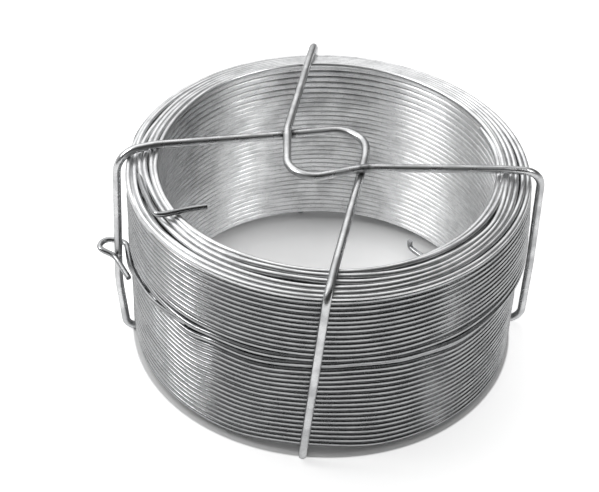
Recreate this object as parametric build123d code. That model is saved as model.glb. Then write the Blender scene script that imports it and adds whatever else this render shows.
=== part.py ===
from build123d import *
from math import cos, radians, sin, sqrt
import os

# A coil of bright galvanised binding wire, standing on its end and held by two bent tie wires.
# The origin is on the coil's axis, on the floor. +Z runs up the axis and the front is -Y.

os.makedirs("parts", exist_ok=True)

# Coil, in millimetres
wire_diameter = 1.4
bore_radius = 40.9
full_layers = 5
full_turns = 34
upper_turns = 15
loose_lift = 0.7
top_rise = 1.8
crest_width = 0.6

# Tie wires
tie_diameter = 2.0
seat_gap = 0.05
arm_gap = 0.12
leg_gap = 1.3
leg_bow = 0.6
shoulder_drop = 1.0
hook_reach = 7.0
leg_bend_radius = 40.0
rim_bend_radius = 10.0
crossing_clearance = 0.35

# Wire ends that show
tail_sink = 0.1
top_tail_overhang = 6.4
start_tail_overhang = 5.6
start_tail_rise = 2.0
hook_left = 5.0
hook_behind = 3.2
side_tail_end = 8.2

# What follows from these
wire_radius = wire_diameter / 2
tie_radius = tie_diameter / 2
layer_spacing = wire_diameter * sqrt(3) / 2
inner_layer_radius = bore_radius + wire_radius
loose_layer_radius = inner_layer_radius + (full_layers - 1) * layer_spacing + loose_lift
lower_outer_radius = loose_layer_radius + wire_radius
upper_outer_radius = inner_layer_radius + full_layers * layer_spacing + wire_radius
coil_bottom = tie_diameter + seat_gap
outer_top = coil_bottom + full_turns * wire_diameter
coil_top = outer_top + top_rise
step_height = outer_top - upper_turns * wire_diameter
leg_radius = upper_outer_radius + leg_gap + tie_radius
leg_middle = (coil_bottom + coil_top) / 2
arm_height = coil_top + arm_gap + tie_radius
corner_height = arm_height - shoulder_drop
crossing_rise = (tie_diameter + crossing_clearance) / 2


def polar(radius, degrees, height):
    """A point at a distance from the coil's axis, in a direction and at a height."""
    angle = radians(degrees)
    return Vector(radius * cos(angle), radius * sin(angle), height)


def bent_wire(points, radii, diameter):
    """A round wire along straight runs joined by tangent arcs."""
    route = FilletPolyline(*points, radius=radii)
    start = Plane(origin=route @ 0, z_dir=route % 0)
    return sweep(start * Circle(diameter / 2), path=route)


def layer_radius(layer):
    """Centre radius of a layer of wire, counted outwards from the bore."""
    return inner_layer_radius + layer * layer_spacing


def layer_top(layer):
    """Height of a layer's last turn: the inner layers stand a little higher."""
    return coil_top - top_rise * layer / full_layers


valley_depth = wire_radius - sqrt(wire_radius**2 - (layer_spacing / 2) ** 2)
shoulder = wire_radius - crest_width / 2


def bottom_end():
    """The coil's lower end, from the bore outwards: one ridge for each full layer.

    The lower half of the last full layer is wound loosely and stands out by loose_lift.
    """
    points = [(bore_radius, coil_bottom + shoulder)]
    for layer in range(full_layers - 1):
        radius = layer_radius(layer)
        points.append((radius - crest_width / 2, coil_bottom))
        points.append((radius + crest_width / 2, coil_bottom))
        points.append((radius + layer_spacing / 2, coil_bottom + valley_depth))
    points.append((loose_layer_radius - crest_width / 2, coil_bottom))
    points.append((loose_layer_radius + crest_width / 2, coil_bottom))
    points.append((lower_outer_radius, coil_bottom + shoulder))
    return points


def side_step():
    """The outer wall's step, where the tight last layer stops half way down the coil."""
    return [
        (lower_outer_radius, step_height),
        (layer_radius(full_layers) + crest_width / 2, step_height),
        (upper_outer_radius, step_height + shoulder),
    ]


def top_end():
    """The coil's upper end, from the outside inwards, rising towards the bore."""
    points = [(upper_outer_radius, layer_top(full_layers) - shoulder)]
    for layer in reversed(range(full_layers + 1)):
        radius = layer_radius(layer)
        points.append((radius + crest_width / 2, layer_top(layer)))
        points.append((radius - crest_width / 2, layer_top(layer)))
        if layer > 0:
            points.append((radius - layer_spacing / 2, layer_top(layer) - valley_depth))
    points.append((bore_radius, coil_top - shoulder))
    return points


def wound_body():
    """All the turns as one turned solid with its bore."""
    outline = bottom_end() + side_step() + top_end()
    section = make_face(Polyline(*outline, close=True))
    return revolve(Plane.XZ * section, axis=Axis.Z)


def top_tail():
    """The wire's end at the top: it climbs out of its layer, turns in and lies out over the bore."""
    leaving_layer = full_layers - 2
    radius = layer_radius(leaving_layer)
    resting = coil_top + wire_radius - tail_sink
    return bent_wire(
        [
            polar(radius, 196, layer_top(leaving_layer) - wire_radius),
            polar(radius, 206, resting - 0.5),
            polar(radius + 0.9, 213, resting),
            polar(bore_radius - top_tail_overhang, 218.7, resting + 0.3),
        ],
        [6.0, 1.9],
        wire_diameter,
    )


def side_tail():
    """The last layer's end, half way down: it sags off the side and hooks round the left leg."""
    along = lower_outer_radius + wire_radius - tail_sink
    last_turn = step_height + wire_radius
    leg = polar(leg_radius + leg_bow, 184.9, last_turn - 5.35)
    return bent_wire(
        [
            polar(layer_radius(full_layers), 226, last_turn),
            polar(along, 213, last_turn - 1.6),
            polar(along, 202, last_turn - 2.1),
            polar(along + 0.1, 190.5, last_turn - 5.6),
            leg + Vector(2.4, hook_behind - 0.9, 0.2),
            leg + Vector(1.7 - hook_left, hook_behind, 0.6),
            leg + Vector(-hook_left, -0.1, 0.2),
            leg + Vector(-0.3, -1.9, -0.9),
            leg + Vector(3.6, -side_tail_end, -2.1),
        ],
        [20.0, 16.0, 12.0, 1.9, 1.8, 1.1, 3.4],
        wire_diameter,
    )


def start_tail():
    """The wire's inner end at the bottom: it leaves the bore's wall and its tip turns up."""
    level = coil_bottom + wire_radius
    tip = polar(bore_radius - start_tail_overhang, 49.9, level + 0.35)
    return bent_wire(
        [
            polar(inner_layer_radius, -8, level),
            polar(inner_layer_radius - 0.4, 2.5, level),
            tip,
            tip + Vector(0.5, 0.2, start_tail_rise),
        ],
        [9.0, 0.8],
        wire_diameter,
    )


def rim_point(corner, elbow):
    """Where a tie wire's arm, on its way from corner to elbow, comes over the innermost layer."""
    way = Vector(elbow.X - corner.X, elbow.Y - corner.Y, 0)
    across = way.X * corner.X + way.Y * corner.Y
    reach = way.length**2
    beyond = corner.X**2 + corner.Y**2 - inner_layer_radius**2
    share = (-across - sqrt(across**2 - reach * beyond)) / reach
    return Vector(corner.X + way.X * share, corner.Y + way.Y * share, arm_height)


def leg(top, foot, bow_height, heel_out, bends):
    """A tie wire's leg from its hooked foot up to the rim: its corners, and the radii of their bends.

    It comes down from the direction top to the direction foot, in degrees. It bows out a little at
    bow_height, and its heel stands heel_out further from the coil's axis than its top corner.
    """
    heel_radius = leg_radius + heel_out
    bow_share = (bow_height - tie_radius) / (corner_height - tie_radius)
    corners = [
        polar(heel_radius - hook_reach, foot, tie_radius),
        polar(heel_radius, foot, tie_radius),
        polar(leg_radius + leg_bow, foot + (top - foot) * bow_share, bow_height),
        polar(leg_radius, top, corner_height),
    ]
    foot_bend, top_bend = bends
    return corners, [foot_bend, leg_bend_radius, top_bend]


def tie_wire(first_leg, last_leg, elbows, elbow_radii, rise):
    """A stiff wire from one hooked foot up over the rim, through its elbows over the bore, and down again."""
    first, first_radii = first_leg
    last, last_radii = last_leg
    bends = [Vector(x, y, arm_height + rise) for x, y in elbows]
    points = [
        *first,
        rim_point(first[-1], bends[0]),
        *bends,
        rim_point(last[-1], bends[-1]),
        *reversed(last),
    ]
    radii = [*first_radii, rim_bend_radius, *elbow_radii, rim_bend_radius, *reversed(last_radii)]
    return bent_wire(points, radii, tie_diameter)


def tie_back_right():
    """The tie wire from the back leg to the right leg, which crosses over the other one."""
    return tie_wire(
        leg(top=95.5, foot=99.0, bow_height=leg_middle, heel_out=0.5, bends=(3.7, 4.0)),
        leg(top=-2.2, foot=3.0, bow_height=22.0, heel_out=0.5, bends=(3.7, 4.6)),
        elbows=[(-10.4, 8.0), (-9.9, -3.8), (-6.1, -11.6), (9.1, -6.0)],
        elbow_radii=[5.0, 6.0, 5.4, 16.0],
        rise=crossing_rise,
    )


def tie_left_front():
    """The tie wire from the left leg to the front leg, which passes under the other one."""
    return tie_wire(
        leg(top=181.8, foot=187.5, bow_height=15.0, heel_out=-1.0, bends=(2.3, 6.4)),
        leg(top=-89.2, foot=-93.8, bow_height=leg_middle, heel_out=0.0, bends=(2.4, 3.4)),
        elbows=[(-12.9, 8.4), (3.3, 12.2), (8.7, 6.9), (8.6, 1.0)],
        elbow_radii=[16.0, 6.0, 5.8, 14.0],
        rise=-crossing_rise,
    )


sub_parts = {
    "wire_coil": wound_body() + top_tail() + side_tail() + start_tail(),
    "tie_wire_back_right": tie_back_right(),
    "tie_wire_left_front": tie_left_front(),
}
for name, solid in sub_parts.items():
    export_step(solid, f"parts/{name}.step")
    print(name, len(solid.solids()), "solid", round(solid.volume), "cubic millimetres")
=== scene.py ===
"""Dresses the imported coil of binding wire: its wound turns, loose ends, tie wires, finishes and studio."""

import math

import bmesh
import bpy
import numpy as np
from bpy.props import FloatProperty, FloatVectorProperty, IntProperty, PointerProperty
from bpy.types import Operator, Panel, PropertyGroup
from mathutils import Matrix, Vector, noise


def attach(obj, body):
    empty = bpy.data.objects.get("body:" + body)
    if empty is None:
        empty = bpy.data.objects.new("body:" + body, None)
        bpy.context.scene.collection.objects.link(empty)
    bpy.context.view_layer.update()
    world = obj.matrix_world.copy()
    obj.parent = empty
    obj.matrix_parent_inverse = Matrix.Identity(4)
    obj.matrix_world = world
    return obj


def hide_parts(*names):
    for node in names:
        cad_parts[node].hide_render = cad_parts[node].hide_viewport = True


bl_info = {
    "name": "Coil of Binding Wire",
    "version": (1, 0, 0),
    "blender": (4, 5, 0),
    "location": "3D View > Sidebar > Wire Coil",
    "description": "Winds the turns, lays the loose ends and lights the coil of binding wire",
    "category": "Object",
}

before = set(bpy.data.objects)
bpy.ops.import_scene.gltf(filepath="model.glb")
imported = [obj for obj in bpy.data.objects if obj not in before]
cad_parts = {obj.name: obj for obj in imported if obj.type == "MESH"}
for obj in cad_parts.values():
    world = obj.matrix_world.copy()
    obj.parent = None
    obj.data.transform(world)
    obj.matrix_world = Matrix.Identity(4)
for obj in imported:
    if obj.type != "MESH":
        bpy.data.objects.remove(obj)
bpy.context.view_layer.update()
MM = 0.001
COIL_BODY = "root"
COIL_NODE = "wire_coil"


# Sizes and colours


class COIL_PG_sizes(PropertyGroup):
    """Sizes of the wire and of the winding."""

    wire: FloatProperty(
        name="Wire", description="Diameter of the coiled wire", default=1.4 * MM, unit="LENGTH"
    )
    bore: FloatProperty(
        name="Bore radius", description="Radius of the open middle", default=40.9 * MM, unit="LENGTH"
    )
    bottom: FloatProperty(
        name="Bottom",
        description="Height of the lowest turns above the floor",
        default=2.05 * MM,
        unit="LENGTH",
    )
    flat: FloatProperty(
        name="Flat",
        description="How far the bore's turns reach inwards from their centre line",
        default=0.39 * MM,
        unit="LENGTH",
    )
    layers: IntProperty(name="Layers", description="Layers of wire over the full height", default=5, min=2)
    turns: IntProperty(name="Turns", description="Turns in a full layer", default=34, min=8)
    upper_turns: IntProperty(
        name="Upper turns", description="Turns in the outermost, part layer", default=15, min=4
    )
    loose_turns: IntProperty(
        name="Loose turns", description="Turns in the outer wall's loose lower half", default=17, min=1
    )
    loose_lift: FloatProperty(
        name="Loose lift", description="How far the loose turns stand out", default=0.7 * MM, unit="LENGTH"
    )
    top_rise: FloatProperty(
        name="Top rise",
        description="How much higher the bore's edge stands than the rim",
        default=1.8 * MM,
        unit="LENGTH",
    )
    steps: IntProperty(name="Steps", description="Steps round one turn", default=160, min=24)
    sides: IntProperty(name="Sides", description="Sides of the wire's section", default=10, min=4)
    bore_steps: IntProperty(
        name="Bore steps", description="Steps round one turn in the bore", default=144, min=24
    )
    bore_sides: IntProperty(
        name="Bore sides", description="Sides of the section of the wire in the bore", default=16, min=4
    )


class COIL_PG_ties(PropertyGroup):
    """Sizes of the two tie wires."""

    wire: FloatProperty(
        name="Tie wire", description="Diameter of the tie wires", default=2.0 * MM, unit="LENGTH"
    )
    arm_gap: FloatProperty(
        name="Arm gap",
        description="Gap between the arms and the coil's top",
        default=0.12 * MM,
        unit="LENGTH",
    )
    leg_gap: FloatProperty(
        name="Leg gap",
        description="Gap between the legs and the outer wall",
        default=1.3 * MM,
        unit="LENGTH",
    )
    leg_bow: FloatProperty(
        name="Leg bow", description="How far the legs bow out", default=0.6 * MM, unit="LENGTH"
    )
    shoulder_drop: FloatProperty(
        name="Shoulder drop",
        description="Drop of the arms outside the rim",
        default=1.0 * MM,
        unit="LENGTH",
    )
    hook_reach: FloatProperty(
        name="Hook reach",
        description="How far the feet hook in under the coil",
        default=7.0 * MM,
        unit="LENGTH",
    )
    leg_bend: FloatProperty(
        name="Leg bend", description="Bend radius of the bowed legs", default=40 * MM, unit="LENGTH"
    )
    rim_bend: FloatProperty(
        name="Rim bend", description="Bend radius over the rim", default=10 * MM, unit="LENGTH"
    )
    clearance: FloatProperty(
        name="Clearance",
        description="Gap between the tie wires where they cross",
        default=0.35 * MM,
        unit="LENGTH",
    )


class COIL_PG_finish(PropertyGroup):
    """Colours of the two wires."""

    zinc: FloatVectorProperty(
        name="Coil wire",
        description="Bright galvanised wire",
        subtype="COLOR",
        size=3,
        default=(0.40, 0.405, 0.41),
    )
    # Painted light: the bore's turns get a much brighter copy of the coil's zinc
    bore: FloatVectorProperty(
        name="Bore wire",
        description="Brighter zinc of the bore's turns",
        subtype="COLOR",
        size=3,
        default=(0.93, 0.935, 0.94),
    )
    # Painted light: the turns on the upper end get a brighter copy of the coil's zinc
    top: FloatVectorProperty(
        name="Top wire",
        description="Zinc of the turns on the upper end",
        subtype="COLOR",
        size=3,
        default=(0.76, 0.765, 0.77),
    )
    dull: FloatVectorProperty(
        name="Dull zinc",
        description="Zinc where it has gone dull",
        subtype="COLOR",
        size=3,
        default=(0.27, 0.275, 0.28),
    )
    tie: FloatVectorProperty(
        name="Tie wire",
        description="Galvanised tie wire",
        subtype="COLOR",
        size=3,
        default=(0.64, 0.645, 0.65),
    )
    # Painted shade: a near-black colour laid on the tie wires round their crossings
    crossing_shade_colour: FloatVectorProperty(
        name="Pinch marks",
        description="Bruised zinc where the tie wires were pressed together",
        subtype="COLOR",
        size=3,
        default=(0.06, 0.06, 0.062),
    )


class COIL_PG_studio(PropertyGroup):
    """Floor and lights."""

    floor: FloatVectorProperty(
        name="Floor", description="Pale studio floor", subtype="COLOR", size=3, default=(0.80, 0.80, 0.80)
    )
    # Painted shadow: the floor inside this radius gets no glow, so the coil's shade ends there in a hard
    # edge
    foot: FloatProperty(
        name="Foot",
        description="Radius of the floor that stays in the coil's shade",
        default=47.8 * MM,
        unit="LENGTH",
    )
    wall: FloatProperty(
        name="Camera side", description="Brightness of the wall behind the camera", default=0.05, min=0.0
    )
    back: FloatProperty(
        name="Back wall", description="Brightness of the white wall behind the coil", default=2.5, min=0.0
    )
    light: FloatProperty(
        name="Light", description="Level of the soft light from above", default=1.0, min=0.0
    )
    side: FloatProperty(
        name="Side lights", description="Brightness of the two lights beside the coil", default=11.0, min=0.0
    )


# Places and curves


def clamp(value):
    """A value kept between 0 and 1."""
    return min(1.0, max(0.0, value))


def ease(share):
    """A share from 0 to 1 that starts and ends gently."""
    return share * share * (3 - 2 * share)


def degrees_apart(first, second):
    """The angle between two directions in degrees, from -180 to 180."""
    return (first - second + 180) % 360 - 180


def polar(degrees, radius, height):
    """A point in millimetres from its direction, its distance from the axis and its height."""
    angle = math.radians(degrees)
    return (radius * math.cos(angle), radius * math.sin(angle), height)


def layer_radius(sizes, layer):
    """Centre radius of a layer of wire, counted outwards from the bore."""
    return sizes.bore + sizes.wire / 2 + layer * sizes.wire * math.sqrt(3) / 2


def row_height(sizes, row):
    """Centre height of a row of turns, counted from the bottom."""
    return sizes.bottom + sizes.wire * (row + 0.5)


WANDER_BENDS = 1.3
WANDER_DRIFT = 0.35


def wander(seed, turns, amount):
    """A smooth shift along a wire: turns counts its turns, which may be a part turn."""
    angle = turns * math.tau
    across = WANDER_BENDS * math.cos(angle)
    deep = WANDER_BENDS * math.sin(angle)
    return amount * noise.noise(Vector((across, deep, seed + WANDER_DRIFT * turns)))


# Winding


def finish_piece(mesh, name, material, node=COIL_NODE, slot="coil_wire"):
    """Puts a finished mesh into an object of its own, which rides on the coil in place of a CAD solid."""
    mesh.name = name
    mesh.polygons.foreach_set("use_smooth", [True] * len(mesh.polygons))
    mesh.materials.clear()
    mesh.materials.append(material)
    piece = bpy.data.objects.new(name, mesh)
    bpy.context.scene.collection.objects.link(piece)
    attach(piece, COIL_BODY)
    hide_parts(node)


def mesh_of(bm):
    """Turns a bmesh into a mesh and frees it."""
    mesh = bpy.data.meshes.new("wire")
    bm.to_mesh(mesh)
    bm.free()
    return mesh


def joined(meshes):
    """One mesh of several."""
    bm = bmesh.new()
    for mesh in meshes:
        bm.from_mesh(mesh)
        bpy.data.meshes.remove(mesh)
    return mesh_of(bm)


def one_turn(sizes, radius, low, sense, start, sides, steps, flat):
    """A bmesh with one turn of wire: a ring of the wire's section, spun once round.

    Where flat is given, the section is pressed flat towards the coil's axis. The turn stays open,
    because its two ends move apart when it becomes part of a helix.
    """
    bm = bmesh.new()
    stand = Matrix.Translation((radius, 0, low)) @ Matrix.Rotation(math.pi / 2, 4, "X")
    ring = bmesh.ops.create_circle(bm, segments=sides, radius=sizes.wire / 2, matrix=stand)["verts"]
    if flat:
        for vert in ring:
            vert.co.x = max(vert.co.x, radius - flat)
    bmesh.ops.spin(
        bm,
        geom=ring + bm.edges[:],
        cent=(0, 0, 0),
        axis=(0, 0, sense),
        angle=math.tau,
        steps=steps,
        use_merge=False,
    )
    bmesh.ops.rotate(bm, verts=bm.verts, cent=(0, 0, 0), matrix=Matrix.Rotation(start, 3, "Z"))
    return bm


def wind(sizes, radius, low, turns, sense, start, shift, sides=None, steps=None, flat=None):
    """Winds a helix of wire from copies of one spun turn, joins them and closes the two ends.

    It turns anticlockwise for a sense of 1 and clockwise for -1, from the direction start in radians.
    shift(turns, angle) gives how far outwards the wire strays there, and its height above low.
    """
    sides = sides or sizes.sides
    steps = steps or sizes.steps
    bm = one_turn(sizes, radius, low, sense, start, sides, steps, flat)
    turn = bpy.data.meshes.new("one_turn")
    bm.to_mesh(turn)
    for _ in range(turns - 1):
        bm.from_mesh(turn)
    mesh = mesh_of(bm)
    bpy.data.meshes.remove(turn)

    rings = np.arange(turns * (steps + 1))
    at = rings // (steps + 1) + (rings % (steps + 1)) / steps
    angles = start + sense * math.tau * at
    strays = np.array([shift(float(value), float(angle)) for value, angle in zip(at, angles)])
    moves = np.stack([strays[:, 0] * np.cos(angles), strays[:, 0] * np.sin(angles), strays[:, 1]], axis=1)
    spots = np.empty(len(mesh.vertices) * 3)
    mesh.vertices.foreach_get("co", spots)
    spots += np.repeat(moves, sides, axis=0).ravel()
    mesh.vertices.foreach_set("co", spots)
    mark_turns(mesh, at, sides)

    bm = bmesh.new()
    bm.from_mesh(mesh)
    bpy.data.meshes.remove(mesh)
    bmesh.ops.remove_doubles(bm, verts=bm.verts, dist=0.001 * MM)
    bmesh.ops.holes_fill(bm, edges=[edge for edge in bm.edges if edge.is_boundary], sides=sides)
    if sense < 0:
        bmesh.ops.reverse_faces(bm, faces=bm.faces)
    return mesh_of(bm)


def mark_turns(mesh, at, sides):
    """Gives wound turns their UV map: turns along the wire, and how far round its section."""
    corners = np.empty(len(mesh.loops), dtype=int)
    mesh.loops.foreach_get("vertex_index", corners)
    side = corners % sides
    quads = side.reshape(-1, 4)
    seam = np.repeat(quads.max(axis=1) - quads.min(axis=1) > 1, 4)
    side = np.where(seam & (side == 0), sides, side)
    marks = np.stack([at[corners // sides], side / sides], axis=1)
    layer = mesh.uv_layers.new(name="along_wire")
    layer.uv.foreach_set("vector", marks.ravel())


# Outer wall

# The line between the wall's two halves, as (direction in degrees, height in millimetres)
SEAM = (
    (0, 28.0),
    (60, 28.2),
    (120, 28.0),
    (180, 28.0),
    (210, 27.6),
    (218, 26.9),
    (230, 26.2),
    (239, 27.3),
    (251, 26.9),
    (268, 27.9),
    (280, 28.4),
    (297, 27.6),
    (313, 26.6),
    (335, 27.4),
    (360, 28.0),
)
BELOW_SEAM = 0.69 * MM
ABOVE_SEAM = 0.75 * MM

# The loose turns sag between the tie wires' hooks
HOOK_DIRECTIONS = (3.0, 99.0, 187.5, 266.2)
HOOK_HALF_WIDTH = 3.5
HOOK_SAG = 1.25 * MM
HOOK_SAG_OVER = 20
LOOSE_START = 0.6
LOOSE_DIVE = 0.9 * MM

# The last layer: slack where it starts on the seam, bulging behind the right leg, tucked in at its end
UPPER_START = 3.7
SLACK_FROM = 0.4
SLACK_OVER = 2.6
BULGE = 1.1 * MM
BULGE_DIRECTION = 352
BULGE_WIDTH = 26
TUCK_FROM_END = 0.12
TUCK_OVER = 0.1
TUCK_IN = 2.2 * MM
TUCK_DOWN = 1.2 * MM


def seam_height(angle):
    """Height of the line between the outer wall's two halves, in metres, in a direction in radians."""
    degrees = math.degrees(angle) % 360
    for (a0, z0), (a1, z1) in zip(SEAM, SEAM[1:]):
        if degrees <= a1:
            return MM * (z0 + (z1 - z0) * ease((degrees - a0) / (a1 - a0)))
    return MM * SEAM[-1][1]


def hook_sag(angle):
    """How far the loose turns sag below the tie wires' hooks, in metres, in a direction in radians."""
    apart = min(abs(degrees_apart(math.degrees(angle), hook)) for hook in HOOK_DIRECTIONS)
    return HOOK_SAG * ease(clamp((apart - HOOK_HALF_WIDTH) / HOOK_SAG_OVER))


def right_bulge(angle, share):
    """How far the last layer bulges out behind the right leg, in metres.

    angle is a direction in radians, and share is 0 at the seam and 1 at the top.
    """
    apart = degrees_apart(math.degrees(angle), BULGE_DIRECTION)
    return BULGE * math.exp(-((apart / BULGE_WIDTH) ** 2)) * math.cos(math.pi / 2 * min(1.0, share))


class COIL_OT_outer_wall(Operator):
    """Winds the two halves of the outer wall: the loose turns below and the tight last layer over them"""

    bl_idname = "coil.outer_wall"
    bl_label = "Outer Wall"

    def execute(self, context):
        sizes = context.scene.coil_sizes
        material = coil_finish(context)
        foot = row_height(sizes, 0)
        step = row_height(sizes, sizes.turns - sizes.upper_turns)

        def loose(at, angle):
            """The turns share the height from foot to seam, and the last one dives inwards."""
            top = seam_height(angle) - BELOW_SEAM
            low = foot - hook_sag(angle)
            height = low + at * (top - low) / sizes.loose_turns
            dive = clamp((height - top) / LOOSE_DIVE)
            stray = wander(11.0, at, 0.16 * MM) - sizes.loose_lift * dive
            return stray, height - foot + wander(23.0, at, 0.08 * MM)

        def tight(at, angle):
            """The first turns lie slack along the seam, and the end is tucked in under the rim."""
            slack = clamp(1 - (at - SLACK_FROM) / SLACK_OVER) ** 2
            sag = slack * (step - ABOVE_SEAM - seam_height(angle))
            tuck = clamp((at - tight_turns + TUCK_FROM_END) / TUCK_OVER)
            bulge = right_bulge(angle, at / sizes.upper_turns)
            stray = wander(37.0, at, 0.14 * MM) + bulge - TUCK_IN * tuck
            return stray, at * sizes.wire - sag + wander(41.0, at, 0.07 * MM) - TUCK_DOWN * tuck

        loose_radius = layer_radius(sizes, sizes.layers - 1) + sizes.loose_lift
        mesh = wind(sizes, loose_radius, foot, sizes.loose_turns + 1, -1, LOOSE_START, loose)
        finish_piece(mesh, "outer_turns_lower", material)

        tight_turns = sizes.upper_turns - 1
        mesh = wind(sizes, layer_radius(sizes, sizes.layers), step, tight_turns, 1, UPPER_START, tight)
        finish_piece(mesh, "outer_turns_upper", material)
        return {"FINISHED"}


# Bore wall

BORE_START = -0.14
LIFTED_TURNS = 6


class COIL_OT_bore_wall(Operator):
    """Winds the innermost layer, whose turns the winding drum pressed flat inside the bore"""

    bl_idname = "coil.bore_wall"
    bl_label = "Bore Wall"

    def execute(self, context):
        sizes = context.scene.coil_sizes

        def shift(at, angle):
            """The turns lie close, and the uppermost ones spread up to the bore's raised edge."""
            spread = max(0.0, (at - sizes.turns + LIFTED_TURNS) / LIFTED_TURNS)
            height = at * sizes.wire + sizes.top_rise * spread
            return wander(3.0, at, 0.08 * MM), height + wander(7.0, at, 0.06 * MM)

        mesh = wind(
            sizes,
            sizes.bore + sizes.flat,
            row_height(sizes, 0),
            sizes.turns - 1,
            -1,
            BORE_START,
            shift,
            sides=sizes.bore_sides,
            steps=sizes.bore_steps,
            flat=sizes.flat,
        )
        finish_piece(mesh, "bore_turns", painted_bright_bore_finish(context))
        return {"FINISHED"}


# Packed turns

LOWER_ROWS = 2
LOWER_STEPS = 120
LOWER_START = 1.1
UPPER_ROWS = 3
UPPER_ROWS_FROM = 5
UPPER_START_SHIFT = 1.9
CORE_INSET = 0.12 * MM
CORE_STEP_DROP = 0.6 * MM
CORE_ROWS_SHORT = 3
CORE_STEPS = 96


class COIL_OT_packed_turns(Operator):
    """Winds the rows that show between the walls at both ends, round a core for the hidden rows"""

    bl_idname = "coil.packed_turns"
    bl_label = "Packed Turns"

    def execute(self, context):
        sizes = context.scene.coil_sizes
        material = coil_finish(context)
        foot = row_height(sizes, 0)
        parts = []
        for layer in range(1, sizes.layers):
            radius = layer_radius(sizes, layer)
            sense = 1 if layer % 2 else -1
            rise = sizes.top_rise * (1 - layer / sizes.layers)
            high = row_height(sizes, sizes.turns - UPPER_ROWS_FROM) + rise

            def shift(at, angle, seed=layer):
                """Each layer strays in its own way."""
                stray = wander(60.0 + seed, at, 0.14 * MM)
                return stray, at * sizes.wire + wander(70.0 + seed, at, 0.08 * MM)

            if layer < sizes.layers - 1:
                start = LOWER_START * layer
                parts.append(wind(sizes, radius, foot, LOWER_ROWS, sense, start, shift, steps=LOWER_STEPS))
            parts.append(wind(sizes, radius, high, UPPER_ROWS, sense, UPPER_START_SHIFT * layer, shift))
        finish_piece(joined(parts), "packed_turns", material)
        finish_piece(hidden_core(sizes), "hidden_turns", material)
        return {"FINISHED"}


def hidden_core(sizes):
    """A turned core a little behind the walls' wires, with the outer wall's step half way up."""
    inner = sizes.bore + sizes.flat + CORE_INSET
    loose = layer_radius(sizes, sizes.layers - 1) + sizes.loose_lift - CORE_INSET
    outer = layer_radius(sizes, sizes.layers) - CORE_INSET
    low = row_height(sizes, 0)
    step = row_height(sizes, sizes.turns - sizes.upper_turns) - CORE_STEP_DROP
    high = row_height(sizes, sizes.turns - CORE_ROWS_SHORT)
    corners = [(inner, low), (loose, low), (loose, step), (outer, step), (outer, high), (inner, high)]
    core = bmesh.new()
    verts = [core.verts.new((x, 0, z)) for x, z in corners]
    edges = [core.edges.new((verts[i], verts[i - 1])) for i in range(len(verts))]
    bmesh.ops.spin(
        core,
        geom=verts + edges,
        cent=(0, 0, 0),
        axis=(0, 0, 1),
        angle=math.tau,
        steps=CORE_STEPS,
        use_merge=True,
    )
    bmesh.ops.recalc_face_normals(core, faces=core.faces)
    return mesh_of(core)


# Laid wires

MEAN_TURN = math.tau * 45 * MM


def lay_wire(name, points, diameter, material, closed=False, steps=8, **piece):
    """Lays a round wire along a smooth line through its control points, in millimetres."""
    curve = bpy.data.curves.new(name, "CURVE")
    curve.dimensions = "3D"
    curve.resolution_u = steps
    spline = curve.splines.new("NURBS")
    spline.points.add(len(points) - 1)
    for spot, point in zip(spline.points, points):
        spot.co = (point[0] * MM, point[1] * MM, point[2] * MM, 1.0)
    spline.order_u = 3
    spline.use_endpoint_u = not closed
    spline.use_cyclic_u = closed
    curve.bevel_depth = diameter / 2
    curve.bevel_resolution = 3
    curve.use_fill_caps = True
    route = bpy.data.objects.new(name, curve)
    mesh = bpy.data.meshes.new_from_object(route)
    bpy.data.objects.remove(route)
    mark_laid_wire(mesh, np.array(points) * MM, diameter)
    finish_piece(mesh, name, material, **piece)


def mark_laid_wire(mesh, line, diameter):
    """Gives a laid wire the UV map of the wound turns, from each vertex's nearest point on its line."""
    lengths = np.concatenate([[0.0], np.cumsum(np.linalg.norm(np.diff(line, axis=0), axis=1))])
    spots = np.empty(len(mesh.vertices) * 3)
    mesh.vertices.foreach_get("co", spots)
    spots = spots.reshape(-1, 3)
    nearest = np.array([np.argmin(np.linalg.norm(line - spot, axis=1)) for spot in spots])
    ahead = line[np.minimum(nearest + 1, len(line) - 1)] - line[np.maximum(nearest - 1, 0)]
    ahead /= np.linalg.norm(ahead, axis=1)[:, None]
    beside = spots - line[nearest]
    along = lengths[nearest] + np.sum(beside * ahead, axis=1)
    across = np.sum(beside * np.cross(ahead, (0.0, 0.0, 1.0)), axis=1)
    marks = np.stack([along / MEAN_TURN, 0.5 + across / diameter], axis=1)
    corners = np.empty(len(mesh.loops), dtype=int)
    mesh.loops.foreach_get("vertex_index", corners)
    layer = mesh.uv_layers.new(name="along_wire")
    layer.uv.foreach_set("vector", marks[corners].ravel())


# Top turns

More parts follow.
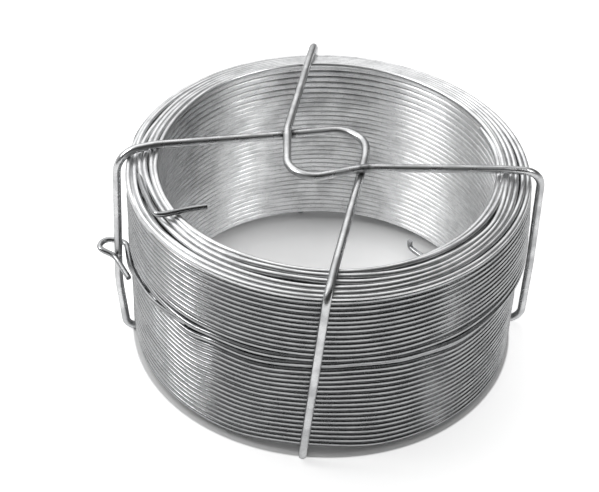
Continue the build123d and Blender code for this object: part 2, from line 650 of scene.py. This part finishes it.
# Each turn's stations as (degrees, radius in millimetres, lift above the coil's sloping upper end)
TOP_TURNS = {
    "rim": (
        (195, 47.6, 0.0),
        (208, 47.9, 0.1),
        (225, 47.75, 0.1),
        (270, 47.8, 0.05),
        (300, 47.85, 0.05),
        (340, 47.7, 0.0),
        (380, 47.75, 0.0),
        (420, 47.7, 0.0),
        (470, 47.75, 0.05),
        (510, 47.6, 0.0),
        (535, 47.3, 0.2),
        (555, 47.6, 0.0),
    ),
    "fifth": (
        (182, 46.3, 0.1),
        (208, 46.75, 0.0),
        (240, 46.5, 0.0),
        (270, 46.65, 0.0),
        (300, 46.45, 0.0),
        (330, 46.2, 0.0),
        (360, 46.4, 0.0),
        (400, 46.5, 0.0),
        (450, 46.4, 0.0),
        (500, 46.35, 0.1),
        (530, 46.5, 0.5),
        (542, 46.3, 0.1),
    ),
    "fourth": (
        (178, 45.4, 0.6),
        (192, 44.8, 0.3),
        (208, 44.95, 0.1),
        (240, 45.2, 0.0),
        (270, 45.4, 0.0),
        (295, 45.65, 0.2),
        (330, 45.4, 0.3),
        (345, 44.9, 0.1),
        (362, 44.7, 0.0),
        (400, 45.1, 0.0),
        (450, 45.25, 0.0),
        (490, 45.1, 0.0),
        (520, 44.5, 0.1),
        (538, 45.4, 0.6),
    ),
    "third": (
        (170, 43.5, 0.1),
        (185, 44.0, 0.4),
        (200, 43.4, 0.0),
        (240, 43.9, 0.0),
        (262, 43.45, 0.0),
        (280, 44.1, 0.0),
        (305, 44.7, 0.2),
        (328, 44.6, 0.5),
        (345, 43.7, 0.2),
        (362, 43.4, 0.0),
        (400, 43.9, 0.0),
        (450, 44.0, 0.0),
        (495, 43.8, 0.0),
        (515, 43.2, 0.1),
        (530, 43.5, 0.1),
    ),
    "second": (
        (180, 42.5, 0.3),
        (200, 42.2, 0.0),
        (235, 42.75, 0.0),
        (255, 42.1, 0.0),
        (272, 42.3, 0.0),
        (300, 43.2, 0.1),
        (330, 43.8, 0.5),
        (348, 42.6, 0.3),
        (365, 42.1, 0.0),
        (400, 42.7, 0.0),
        (450, 42.8, 0.0),
        (495, 42.6, 0.0),
        (520, 42.0, 0.2),
        (540, 42.5, 0.3),
    ),
    "mouth": (
        (188, 41.5, 0.2),
        (215, 41.75, 0.0),
        (250, 41.3, 0.0),
        (290, 41.35, 0.0),
        (325, 41.7, 0.0),
        (360, 41.75, 0.0),
        (400, 41.6, 0.0),
        (450, 41.6, 0.0),
        (490, 41.4, 0.0),
        (515, 40.6, -0.2),
        (532, 40.7, 0.0),
        (548, 41.5, 0.2),
    ),
    "stray": (
        (266, 40.9, -1.2),
        (285, 40.75, -0.9),
        (315, 40.6, -0.6),
        (345, 40.5, -0.5),
        (362, 40.65, -0.6),
        (378, 40.95, -0.9),
        (392, 41.3, -1.4),
    ),
    "slack": (
        (168, 47.2, 0.1),
        (182, 47.6, 0.7),
        (196, 48.15, 0.5),
        (208, 47.9, -0.5),
        (222, 47.0, -1.6),
        (240, 46.2, -2.6),
    ),
}
REST_HEIGHT = 50.72
REST_RADIUS = 41.6
REST_SLOPE = 0.3
STATION_STEP = 8


def ring_route(stations):
    """Points round the coil from stations of (degrees, radius, lift), every eight degrees or so."""
    points = []
    for (a0, r0, up0), (a1, r1, up1) in zip(stations, stations[1:]):
        count = max(1, round(abs(a1 - a0) / STATION_STEP))
        for i in range(count):
            share = i / count
            radius = r0 + (r1 - r0) * ease(share)
            rest = REST_HEIGHT - REST_SLOPE * (radius - REST_RADIUS)
            points.append(polar(a0 + (a1 - a0) * share, radius, rest + up0 + (up1 - up0) * ease(share)))
    return points


class COIL_OT_top_turns(Operator):
    """Lays the last turn of each layer over the coil's upper end"""

    bl_idname = "coil.top_turns"
    bl_label = "Top Turns"

    def execute(self, context):
        sizes = context.scene.coil_sizes
        material = painted_bright_top_finish(context)
        for name, stations in TOP_TURNS.items():
            closed = stations[-1][0] - stations[0][0] == 360
            lay_wire(f"top_turn_{name}", ring_route(stations), sizes.wire, material, closed)
        return {"FINISHED"}


# Wire ends

END_OVER_BORE = (
    polar(190, 45.2, 49.9),
    polar(197, 45.3, 50.7),
    polar(204, 45.4, 51.6),
    polar(209, 46.0, 52.0),
    (-38.9, -25.2, 52.1),
    (-37.2, -25.2, 52.1),
    (-35.2, -24.4, 52.15),
    (-33.0, -23.5, 52.2),
    (-30.6, -22.7, 52.3),
    (-27.5, -21.8, 52.35),
)
LEFT_LEG = polar(184.9, 51.26, 24.0)
END_TOWARDS_LEG = (
    polar(229, 47.7, 29.2),
    polar(221, 48.0, 28.3),
    polar(213, 48.4, 27.6),
    polar(205, 48.4, 27.4),
    polar(199, 48.4, 26.4),
    polar(194, 48.4, 24.9),
    polar(189, 48.5, 24.0),
)
# The hook round the left leg, from the leg's centre
HOOK_ROUND_LEG = (
    (2.5, 0.2, -0.1),
    (1.9, 2.3, 0.2),
    (-0.4, 2.9, 0.5),
    (-2.9, 3.0, 0.6),
    (-4.3, 1.9, 0.4),
    (-4.6, 0.2, 0.2),
    (-3.4, -0.7, -0.1),
    (-1.2, -1.3, -0.6),
    (0.1, -2.4, -1.0),
    (1.6, -5.0, -1.6),
    (3.6, -8.2, -2.1),
)
END_LOW_IN_BORE = (
    polar(-24, 41.6, 2.75),
    polar(-16, 41.6, 2.75),
    polar(-8, 41.55, 2.75),
    polar(-1, 41.3, 2.75),
    polar(5, 40.6, 2.8),
    polar(12, 39.2, 2.8),
    polar(22, 37.3, 2.85),
    polar(33, 35.8, 2.95),
    polar(42, 35.2, 3.05),
    polar(48.5, 35.2, 3.15),
    polar(50.1, 35.5, 3.8),
    polar(50.2, 35.8, 5.0),
)


class COIL_OT_wire_ends(Operator):
    """Lays the three ends of the wire that show: on top, round the left leg and low in the bore"""

    bl_idname = "coil.wire_ends"
    bl_label = "Wire Ends"

    def execute(self, context):
        sizes = context.scene.coil_sizes
        material = coil_finish(context)
        hook = [tuple(centre + part for centre, part in zip(LEFT_LEG, point)) for point in HOOK_ROUND_LEG]
        lay_wire("end_over_bore", END_OVER_BORE, sizes.wire, material)
        lay_wire("end_round_leg", [*END_TOWARDS_LEG, *hook], sizes.wire, material)
        lay_wire("end_low_in_bore", END_LOW_IN_BORE, sizes.wire, material)
        return {"FINISHED"}


# Tie wires

# Directions are in degrees, and the other values in millimetres; rise is 1 for the wire that crosses over
TIES = {
    "tie_wire_back_right": {
        "first": {"top": 95.5, "foot": 99.0, "bow_height": 26.75, "heel_out": 0.5, "bends": (3.7, 4.0)},
        "last": {"top": -2.2, "foot": 3.0, "bow_height": 22.0, "heel_out": 0.5, "bends": (3.7, 5.0)},
        "elbows": ((-10.4, 8.0), (-9.6, -13.3), (8.2, -6.3)),
        "elbow_bends": (12.0, 6.4, 22.0),
        "rise": 1,
    },
    "tie_wire_left_front": {
        "first": {"top": 181.8, "foot": 187.5, "bow_height": 15.0, "heel_out": -1.0, "bends": (2.3, 6.4)},
        "last": {"top": -89.2, "foot": -93.8, "bow_height": 26.75, "heel_out": 0.0, "bends": (2.4, 3.4)},
        "elbows": ((-12.9, 8.4), (8.9, 13.5), (8.6, 1.0)),
        "elbow_bends": (16.0, 7.1, 20.0),
        "rise": -1,
    },
}
POINT_SPACING = 1.5
DEGREES_A_POINT = 4


def arm_height(sizes, ties):
    """Height in millimetres of the tie wires' arms over the coil's upper end."""
    return (sizes.bottom + sizes.turns * sizes.wire + sizes.top_rise + ties.arm_gap + ties.wire / 2) / MM


def tie_leg(sizes, ties, top, foot, bow_height, heel_out, bends):
    """Corners in millimetres of a leg from its hooked foot up to the rim, and the radii of their bends."""
    radius = (layer_radius(sizes, sizes.layers) + (sizes.wire + ties.wire) / 2 + ties.leg_gap) / MM
    foot_height = ties.wire / 2 / MM
    corner_height = arm_height(sizes, ties) - ties.shoulder_drop / MM
    share = (bow_height - foot_height) / (corner_height - foot_height)
    corners = [
        polar(foot, radius + heel_out - ties.hook_reach / MM, foot_height),
        polar(foot, radius + heel_out, foot_height),
        polar(foot + (top - foot) * share, radius + ties.leg_bow / MM, bow_height),
        polar(top, radius, corner_height),
    ]
    foot_bend, top_bend = bends
    return corners, [foot_bend, ties.leg_bend / MM, top_bend]


def rim_point(sizes, ties, corner, elbow):
    """Where a tie wire's arm, on its way from corner to elbow, comes over the innermost layer."""
    start = Vector(corner[:2])
    way = Vector(elbow[:2]) - start
    beyond = start.length_squared - (layer_radius(sizes, 0) / MM) ** 2
    across = way.dot(start)
    share = (-across - math.sqrt(across**2 - way.length_squared * beyond)) / way.length_squared
    return (*(start + way * share), arm_height(sizes, ties))


def straight(start, end):
    """Evenly spaced points between two others."""
    count = round((end - start).length / POINT_SPACING)
    return [start.lerp(end, i / count) for i in range(1, count)]


def rounded(points, radii):
    """A route along straight runs joined by tangent arcs."""
    corners = [Vector(point) for point in points]
    route = [corners[0]]
    for before, corner, after, radius in zip(corners, corners[1:], corners[2:], radii):
        back = (before - corner).normalized()
        ahead = (after - corner).normalized()
        half = back.angle(ahead) / 2
        reach = radius / math.tan(half)
        centre = corner + (back + ahead).normalized() * radius / math.sin(half)
        start = corner + back * reach - centre
        end = corner + ahead * reach - centre
        route += straight(route[-1], centre + start)
        turn = start.angle(end)
        count = max(2, math.ceil(math.degrees(turn) / DEGREES_A_POINT))
        for i in range(count + 1):
            share = i / count
            spoke = start * math.sin((1 - share) * turn) + end * math.sin(share * turn)
            route.append(centre + spoke / math.sin(turn))
    route += straight(route[-1], corners[-1])
    route.append(corners[-1])
    return [tuple(point) for point in route]


def tie_route(sizes, ties, first, last, elbows, elbow_bends, rise):
    """A tie wire's route from one hooked foot over the rim, through its elbows and down to the other."""
    first_corners, first_bends = tie_leg(sizes, ties, **first)
    last_corners, last_bends = tie_leg(sizes, ties, **last)
    height = arm_height(sizes, ties) + rise * (ties.wire + ties.clearance) / 2 / MM
    middle = [(x, y, height) for x, y in elbows]
    rim_bend = ties.rim_bend / MM
    points = [
        *first_corners,
        rim_point(sizes, ties, first_corners[-1], middle[0]),
        *middle,
        rim_point(sizes, ties, last_corners[-1], middle[-1]),
        *reversed(last_corners),
    ]
    radii = [*first_bends, rim_bend, *elbow_bends, rim_bend, *reversed(last_bends)]
    return rounded(points, radii)


class COIL_OT_tie_wires(Operator):
    """Bends the two tie wires smoothly along the routes of their CAD solids"""

    bl_idname = "coil.tie_wires"
    bl_label = "Tie Wires"

    def execute(self, context):
        sizes = context.scene.coil_sizes
        ties = context.scene.coil_ties
        material = tie_finish(context)
        for name, tie in TIES.items():
            route = tie_route(sizes, ties, **tie)
            lay_wire(f"bent_{name}", route, ties.wire, material, steps=2, node=name, slot="tie_wire")
        return {"FINISHED"}


# Finishes

BLOTCH_SCALE = 190.0
PIT_SCALE = 2400.0
DRAW_MARK_SCALE = (42.0, 7.0, 1.0)
STREAKS = 0.45
SPECKS = 0.35
EDGE_TINT = (0.62, 0.62, 0.62, 1.0)


def new_material(name):
    """An empty node material and its Principled shader."""
    material = bpy.data.materials.new(name)
    material.use_nodes = True
    material.node_tree.nodes.clear()
    output = material.node_tree.nodes.new("ShaderNodeOutputMaterial")
    shader = material.node_tree.nodes.new("ShaderNodeBsdfPrincipled")
    material.node_tree.links.new(shader.outputs["BSDF"], output.inputs["Surface"])
    return material, shader


def add_node(tree, kind, values=None, **settings):
    """A new node with its settings, and its sockets set to a value or linked to another node's output."""
    made = tree.nodes.new(kind)
    for name, value in settings.items():
        setattr(made, name, value)
    for name, value in (values or {}).items():
        if isinstance(value, bpy.types.NodeSocket):
            tree.links.new(value, made.inputs[name])
        else:
            made.inputs[name].default_value = value
    return made


def calculate(tree, operation, *values):
    """The output of a Math node."""
    return add_node(tree, "ShaderNodeMath", dict(enumerate(values)), operation=operation).outputs[0]


def vector_value(tree, operation, *vectors):
    """The value that a Vector Math node gives."""
    made = add_node(tree, "ShaderNodeVectorMath", dict(enumerate(vectors)), operation=operation)
    return made.outputs["Value"]


def mixed_colour(tree, factor, first, second):
    """Two colours mixed by a factor: each is a colour or another node's output."""
    return add_node(tree, "ShaderNodeMix", {0: factor, 6: first, 7: second}, data_type="RGBA").outputs[2]


def ramp(tree, socket, low, high, start, end):
    """A smooth change of a value from start to end, as the socket goes from low to high."""
    values = {"Value": socket, "From Min": low, "From Max": high, "To Min": start, "To Max": end}
    made = add_node(tree, "ShaderNodeMapRange", values, interpolation_type="SMOOTHSTEP")
    return made.outputs["Result"]


def zinc_coat(name, bright, dull, smooth, rough, patchy):
    """Galvanised wire: bright zinc with dull blotches, draw marks along the wire and fine pitting."""
    material, shader = new_material(name)
    tree = material.node_tree
    place = add_node(tree, "ShaderNodeTexCoord").outputs["Object"]
    wire = add_node(tree, "ShaderNodeUVMap", uv_map="along_wire").outputs["UV"]
    stretched = add_node(tree, "ShaderNodeMapping", {"Vector": wire, "Scale": DRAW_MARK_SCALE})

    def patches(vector, scale, detail, roughness):
        """The value of a noise texture."""
        values = {"Vector": vector, "Scale": scale, "Detail": detail, "Roughness": roughness}
        return add_node(tree, "ShaderNodeTexNoise", values).outputs["Fac"]

    marks = patches(stretched.outputs["Vector"], 1.0, 3.0, 0.6)
    blotches = patches(place, BLOTCH_SCALE, 4.0, 0.55)
    pits = patches(place, PIT_SCALE, 2.0, 0.5)

    base = mixed_colour(tree, ramp(tree, blotches, 0.40, 0.66, 0.0, patchy), (*bright, 1.0), (*dull, 1.0))
    base = mixed_colour(tree, ramp(tree, marks, 0.46, 0.74, 0.0, STREAKS), base, (*dull, 1.0))
    deep = (*(0.6 * part for part in dull), 1.0)
    base = mixed_colour(tree, ramp(tree, pits, 0.58, 0.74, 0.0, SPECKS), base, deep)
    tree.links.new(base, shader.inputs["Base Color"])
    tree.links.new(ramp(tree, blotches, 0.35, 0.70, smooth, rough), shader.inputs["Roughness"])
    shader.inputs["Metallic"].default_value = 1.0
    shader.inputs["Specular Tint"].default_value = EDGE_TINT

    relief = calculate(tree, "ADD", marks, pits)
    bump = add_node(tree, "ShaderNodeBump", {"Height": relief, "Strength": 0.35, "Distance": 0.03 * MM})
    tree.links.new(bump.outputs["Normal"], shader.inputs["Normal"])
    return material, shader


def coil_finish(context):
    """The finish of the coil's outer turns and of its ends, made once."""
    finish = context.scene.coil_finish
    name = "galvanised_coil_wire"
    return bpy.data.materials.get(name) or zinc_coat(name, finish.zinc, finish.dull, 0.19, 0.30, 0.55)[0]


def painted_bright_top_finish(context):
    """The finish of the turns on the coil's upper end, which lie loose and are hardly rubbed, so they are
    rougher. Their zinc is a brighter copy of the coil's, which is painted light.
    """
    finish = context.scene.coil_finish
    # Painted light: the top turns' zinc is brighter than the coil's own
    return zinc_coat("galvanised_top_wire_painted_bright", finish.top, finish.zinc, 0.30, 0.42, 0.45)[0]


def painted_bright_bore_finish(context):
    """The finish of the bore's turns: a much brighter copy of the coil's zinc, which is painted light, with
    its marks along the wire.
    """
    finish = context.scene.coil_finish
    # Painted light: the bore's zinc is far brighter than the coil's own
    material, shader = zinc_coat("galvanised_bore_wire_painted_bright", finish.bore, finish.zinc, 0.42, 0.52, 0.25)
    tree = material.node_tree
    shader.inputs["Anisotropic"].default_value = 0.9
    shader.inputs["Anisotropic Rotation"].default_value = 0.25
    along = add_node(tree, "ShaderNodeTangent", direction_type="UV_MAP", uv_map="along_wire")
    tree.links.new(along.outputs["Tangent"], shader.inputs["Tangent"])
    return material


# Painted shade where the tie wires cross, as (place, radius) in millimetres
PAINTED_CROSSING_SHADE = (((-10.2, 8.9, 51.4), 2.2), ((8.0, -6.3, 53.2), 2.0), ((5.4, -7.2, 53.0), 1.2))
GRAIN_SCALE = 900.0
PAINTED_SHADE_RAGGED = 3.2
PAINTED_SHADE_FADE = (0.6, 2.2)
PAINTED_SHADE_STRENGTH = 0.85


def tie_finish(context):
    """The finish of the two tie wires, with painted shade where they cross."""
    finish = context.scene.coil_finish
    material, shader = zinc_coat("galvanised_tie_wire", finish.tie, finish.dull, 0.25, 0.38, 0.45)
    tree = material.node_tree
    place = add_node(tree, "ShaderNodeTexCoord").outputs["Object"]
    grain = add_node(tree, "ShaderNodeTexNoise", {"Vector": place, "Scale": GRAIN_SCALE, "Detail": 3.0})
    base = shader.inputs["Base Color"].links[0].from_socket
    # Painted shade: each crossing darkens the tie wires within a ragged circle
    for spot, radius in PAINTED_CROSSING_SHADE:
        apart = vector_value(tree, "DISTANCE", place, Vector(spot) * MM)
        ragged = calculate(tree, "MULTIPLY_ADD", grain.outputs["Fac"], PAINTED_SHADE_RAGGED * MM, apart)
        inner, outer = ((radius + fade) * MM for fade in PAINTED_SHADE_FADE)
        near = ramp(tree, ragged, inner, outer, PAINTED_SHADE_STRENGTH, 0.0)
        base = mixed_colour(tree, near, base, (*finish.crossing_shade_colour, 1.0))
    tree.links.new(base, shader.inputs["Base Color"])
    return material


# Studio

FLOOR_RADIUS = 20.0
FLOOR_GLOW = 0.60
# Painted light: glow on the bore's floor, from its middle to near its wall
PAINTED_BORE_FLOOR_LIGHT = (0.26, 0.04)
PAINTED_BORE_FLOOR_LIGHT_FADE = (0.6, 0.9)
# Painted shadow: a ring under the coil's foot without glow, shifted towards the front
PAINTED_SHADOW_EDGE = 0.6 * MM
PAINTED_SHADOW_SHIFT = Vector((0.0, -0.8, 0.0)) * MM

BACK_WALL = (-0.36, 0.609, 0.707)
BACK_WALL_FALL = 3.2
SKY_LIGHT = (-0.20, 0.28, 0.939)
SKY_FALL = 6.0
SKY_PEAK = 3.4
SKY_ALL_ROUND = 0.10

# Soft boxes: place and aim in millimetres, width and height, spread in degrees, share of the side lights
SOFT_BOXES = {
    "light_left": ((-140, -15, 180), (27, 33, 20), (70, 150), 44, 1.5),
    "light_right": ((125, -36, 180), (-26, 36, 20), (36, 150), 29, 1.8),
}

CAMERA_PLACE = Vector((-2.23, -327.27, 292.12)) * MM
CAMERA_AIM = Vector((-2.23, 0.0, 23.74)) * MM
CAMERA_ROLL = math.radians(2.527)
PHOTO_WIDTH = 599
FOCAL_PIXELS = 1702.2
SENSOR_WIDTH = 36.0
LENS_SHIFT = (-0.0276, 0.0027)


class COIL_OT_studio(Operator):
    """Sets the floor, the soft light and the camera"""

    bl_idname = "coil.studio"
    bl_label = "Studio"

    def execute(self, context):
        scene = context.scene
        lay_floor(scene)
        light_world(scene)
        for name, values in SOFT_BOXES.items():
            hang_soft_box(scene, name, *values)
        place_camera(scene)
        scene.view_settings.view_transform = "Standard"
        return {"FINISHED"}


def lay_floor(scene):
    """A wide, plain floor."""
    bm = bmesh.new()
    bmesh.ops.create_circle(bm, cap_ends=True, segments=128, radius=FLOOR_RADIUS)
    mesh = mesh_of(bm)
    mesh.name = "studio_floor"
    mesh.materials.append(floor_finish(scene.coil_studio))
    floor = bpy.data.objects.new("studio_floor", mesh)
    scene.collection.objects.link(floor)


def seen_directly(tree):
    """1 for camera, glossy and transmission rays."""
    path = add_node(tree, "ShaderNodeLightPath").outputs
    mirrored = calculate(tree, "MAXIMUM", path["Is Camera Ray"], path["Is Glossy Ray"])
    return calculate(tree, "MAXIMUM", mirrored, path["Is Transmission Ray"])


def floor_finish(studio):
    """Matt pale floor that reads as white to the camera and in the metal, and keeps its shadows. It glows
    only outside a circle round the coil's foot, a painted shadow with a hard edge, and glows more in the
    middle of the bore, a painted pool of light.
    """
    material, shader = new_material("studio_floor")
    shader.inputs["Base Color"].default_value = (*studio.floor, 1.0)
    shader.inputs["Roughness"].default_value = 1.0
    shader.inputs["Specular IOR Level"].default_value = 0.0
    shader.inputs["Emission Color"].default_value = (1.0, 1.0, 1.0, 1.0)
    tree = material.node_tree
    place = add_node(tree, "ShaderNodeTexCoord").outputs["Object"]
    from_axis = vector_value(tree, "LENGTH", place)
    from_painted_shadow_centre = vector_value(tree, "DISTANCE", place, PAINTED_SHADOW_SHIFT)
    # Painted shadow: the floor glows only beyond the coil's foot, so the shade under the coil ends in a hard
    # edge
    outside = ramp(tree, from_painted_shadow_centre, studio.foot, studio.foot + PAINTED_SHADOW_EDGE, 0.0, FLOOR_GLOW)
    # Painted light: the middle of the bore's floor glows, fading out towards the bore's wall
    near, far = (share * studio.foot for share in PAINTED_BORE_FLOOR_LIGHT_FADE)
    inside = ramp(tree, from_axis, near, far, *PAINTED_BORE_FLOOR_LIGHT)
    glow = calculate(tree, "MULTIPLY", seen_directly(tree), calculate(tree, "ADD", outside, inside))
    tree.links.new(glow, shader.inputs["Emission Strength"])
    return material


def facing(tree, way, direction, power):
    """How squarely a way faces a direction: 1 straight towards it, falling to 0 at the side."""
    along = vector_value(tree, "DOT_PRODUCT", way, direction)
    return calculate(tree, "POWER", calculate(tree, "MAXIMUM", along, 0.0), power)


def light_world(scene):
    """Soft light from above, and what the metal sees: white behind, dim on the camera's side."""
    studio = scene.coil_studio
    world = bpy.data.worlds.new("studio_light")
    scene.world = world
    world.use_nodes = True
    tree = world.node_tree
    tree.nodes.clear()
    way = add_node(tree, "ShaderNodeTexCoord").outputs["Generated"]
    sky = facing(tree, way, SKY_LIGHT, SKY_FALL)
    sky = calculate(tree, "MULTIPLY_ADD", sky, SKY_PEAK * studio.light, SKY_ALL_ROUND * studio.light)
    walls = facing(tree, way, BACK_WALL, BACK_WALL_FALL)
    walls = calculate(tree, "MULTIPLY_ADD", walls, studio.back, studio.wall)
    plain = add_node(tree, "ShaderNodeBackground", {"Strength": sky})
    seen = add_node(tree, "ShaderNodeBackground", {"Strength": walls})
    values = {0: seen_directly(tree), 1: plain.outputs[0], 2: seen.outputs[0]}
    mix = add_node(tree, "ShaderNodeMixShader", values)
    add_node(tree, "ShaderNodeOutputWorld", {"Surface": mix.outputs[0]})
    # The light on matt surfaces and what the metal sees differ, so the world isn't sampled as one lamp
    world.cycles.sampling_method = "NONE"


def hang_soft_box(scene, name, place, aim, size, spread, share):
    """A soft box whose light stays within its spread. Its brightness is a share of the side lights'."""
    lamp = bpy.data.lights.new(name, "AREA")
    lamp.shape = "RECTANGLE"
    lamp.size, lamp.size_y = (side * MM for side in size)
    lamp.spread = math.radians(spread)
    half = lamp.spread / 2
    beam = math.sin(half) ** 2 / 2 - (half / 2 - math.sin(2 * half) / 4) / math.tan(half)
    lamp.energy = share * scene.coil_studio.side * math.tau * beam * lamp.size * lamp.size_y
    box = bpy.data.objects.new(name, lamp)
    box.location = Vector(place) * MM
    box.rotation_euler = (Vector(aim) - Vector(place)).to_track_quat("-Z", "Y").to_euler()
    box.visible_camera = False
    scene.collection.objects.link(box)


def place_camera(scene):
    """Stands the camera where the photograph was taken from."""
    optics = bpy.data.cameras.new("photo_camera")
    optics.sensor_width = SENSOR_WIDTH
    optics.lens = SENSOR_WIDTH * FOCAL_PIXELS / PHOTO_WIDTH
    optics.shift_x, optics.shift_y = LENS_SHIFT
    optics.clip_start = 0.01
    optics.clip_end = 100.0
    ahead = (CAMERA_AIM - CAMERA_PLACE).normalized()
    right = ahead.cross(Vector((0, 0, 1))).normalized()
    up = right.cross(ahead)
    tilted = right * math.cos(CAMERA_ROLL) + up * math.sin(CAMERA_ROLL)
    upright = up * math.cos(CAMERA_ROLL) - right * math.sin(CAMERA_ROLL)
    turn = Matrix((tilted, upright, -ahead)).transposed()
    camera = bpy.data.objects.new("photo_camera", optics)
    camera.matrix_world = Matrix.Translation(CAMERA_PLACE) @ turn.to_4x4()
    scene.collection.objects.link(camera)
    scene.camera = camera


# Panel and registration


class COIL_PT_panel(Panel):
    """Lists the sizes, the colours and the steps of the coil"""

    bl_label = "Wire Coil"
    bl_idname = "COIL_PT_panel"
    bl_space_type = "VIEW_3D"
    bl_region_type = "UI"
    bl_category = "Wire Coil"

    def draw(self, context):
        layout = self.layout
        scene = context.scene
        for group in (scene.coil_sizes, scene.coil_ties, scene.coil_finish, scene.coil_studio):
            for name in group.__annotations__:
                layout.prop(group, name)
        for operator in OPERATORS:
            layout.operator(operator.bl_idname)


OPERATORS = (
    COIL_OT_outer_wall,
    COIL_OT_bore_wall,
    COIL_OT_packed_turns,
    COIL_OT_top_turns,
    COIL_OT_wire_ends,
    COIL_OT_tie_wires,
    COIL_OT_studio,
)
GROUPS = (COIL_PG_sizes, COIL_PG_ties, COIL_PG_finish, COIL_PG_studio)


def register():
    """Registers the groups, the operators and the panel."""
    for cls in (*GROUPS, *OPERATORS, COIL_PT_panel):
        bpy.utils.register_class(cls)
    bpy.types.Scene.coil_sizes = PointerProperty(type=COIL_PG_sizes)
    bpy.types.Scene.coil_ties = PointerProperty(type=COIL_PG_ties)
    bpy.types.Scene.coil_finish = PointerProperty(type=COIL_PG_finish)
    bpy.types.Scene.coil_studio = PointerProperty(type=COIL_PG_studio)


def unregister():
    """Takes them away again."""
    del bpy.types.Scene.coil_studio
    del bpy.types.Scene.coil_finish
    del bpy.types.Scene.coil_ties
    del bpy.types.Scene.coil_sizes
    for cls in reversed((*GROUPS, *OPERATORS, COIL_PT_panel)):
        bpy.utils.unregister_class(cls)


def main():
    """Makes every piece in order."""
    register()
    bpy.ops.coil.outer_wall()
    bpy.ops.coil.bore_wall()
    bpy.ops.coil.packed_turns()
    bpy.ops.coil.top_turns()
    bpy.ops.coil.wire_ends()
    bpy.ops.coil.tie_wires()
    bpy.ops.coil.studio()


if __name__ == "__main__":
    main()
